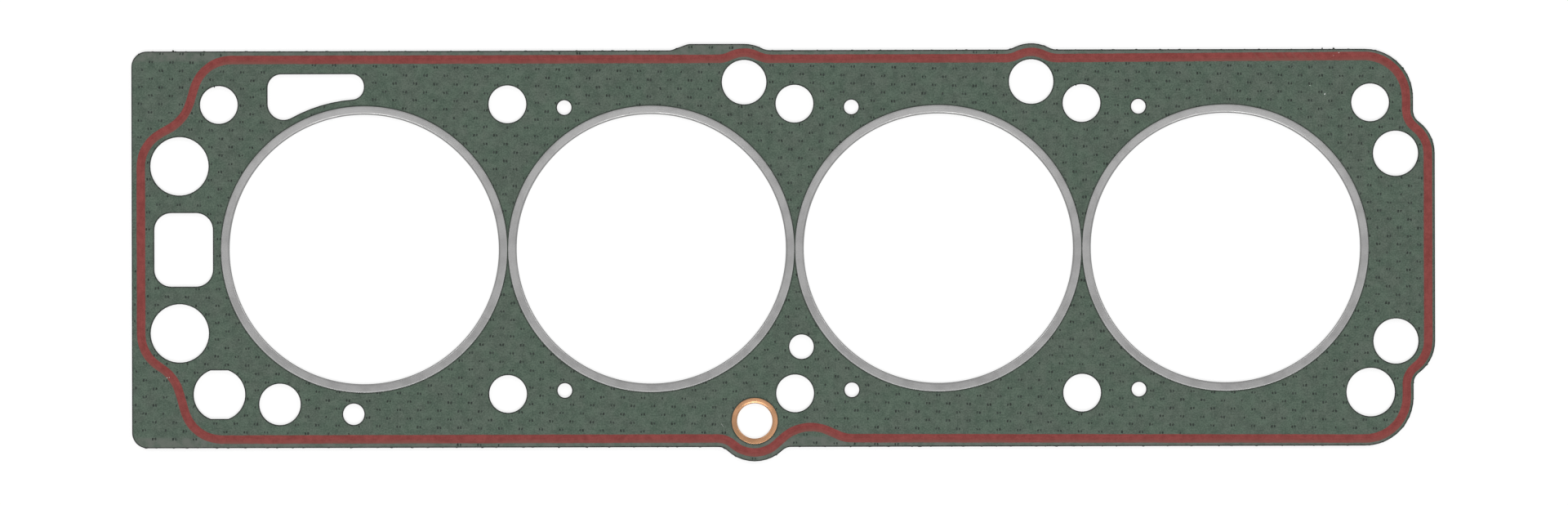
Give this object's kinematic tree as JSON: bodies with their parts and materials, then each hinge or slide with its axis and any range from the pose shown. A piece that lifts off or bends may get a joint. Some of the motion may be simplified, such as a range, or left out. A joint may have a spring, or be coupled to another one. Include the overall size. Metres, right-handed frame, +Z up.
{
  "type": "cylinder head gasket",
  "caption": "Flat composite cylinder head gasket: fibre sheet on a tanged steel core, with folded steel rings round the bores, a copper eyelet at the oil feed and a printed silicone bead.",
  "frame": {"origin": "middle of the bore row, on the plane that the gasket lies on", "axes": "+X along the bore row towards the end with two lugs, +Y towards the edge with the drain swells, +Z up through the thickness"},
  "size_m": [0.4222, 0.1352, 0.0016],
  "materials": {
    "fibre_facing": "matte green compressed fibre on a tanged steel core",
    "ring_steel": "rolled thin steel, satin",
    "eyelet_copper": "folded copper, satin",
    "bead_silicone": "matte dark red printed silicone"
  },
  "bodies": {
    "root": {"composite_sheet": "fibre_facing", "fire_rings": "ring_steel", "oil_feed_eyelet": "eyelet_copper", "upper_seal_bead": "bead_silicone", "lower_seal_bead": "bead_silicone"}
  },
  "joints": []
}
